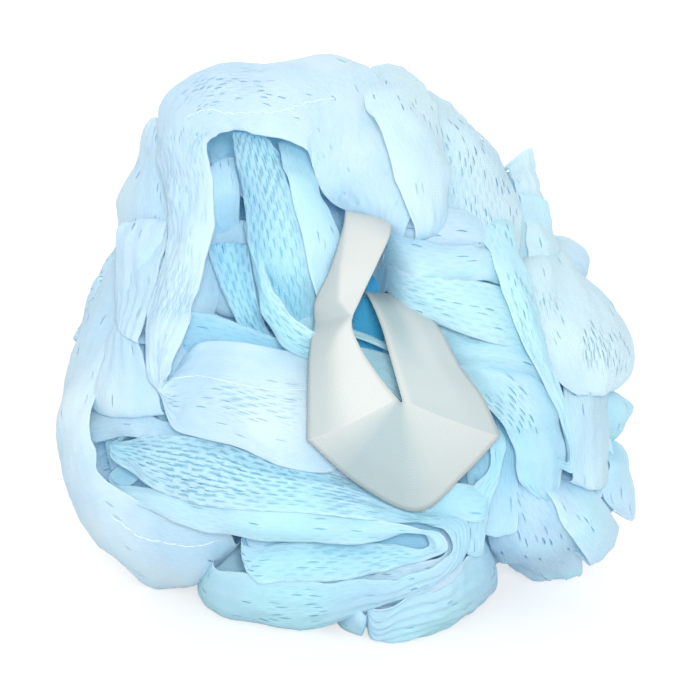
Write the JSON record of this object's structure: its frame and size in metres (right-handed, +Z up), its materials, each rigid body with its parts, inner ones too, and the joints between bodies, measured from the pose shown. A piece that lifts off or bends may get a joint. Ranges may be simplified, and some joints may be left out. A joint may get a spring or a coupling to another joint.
{
  "type": "bath pouf",
  "caption": "Round bath sponge of pale blue knitted nylon netting gathered into soft loops, with a satin ribbon hanging loop.",
  "frame": {"origin": "on the floor under the middle of the pouf", "axes": "+X to the right of the face, +Y to the back of the pouf, +Z up; the face with the ribbon looks to -Y, leaning back 20 degrees"},
  "size_m": [0.131, 0.112, 0.1191],
  "materials": {
    "netting": "knitted nylon net, translucent, soft sheen",
    "ribbon": "satin",
    "cord": "matte cotton cord"
  },
  "bodies": {
    "root": {"netting": "netting", "ribbon_loop": "ribbon", "centre_tie": "cord"}
  },
  "joints": []
}
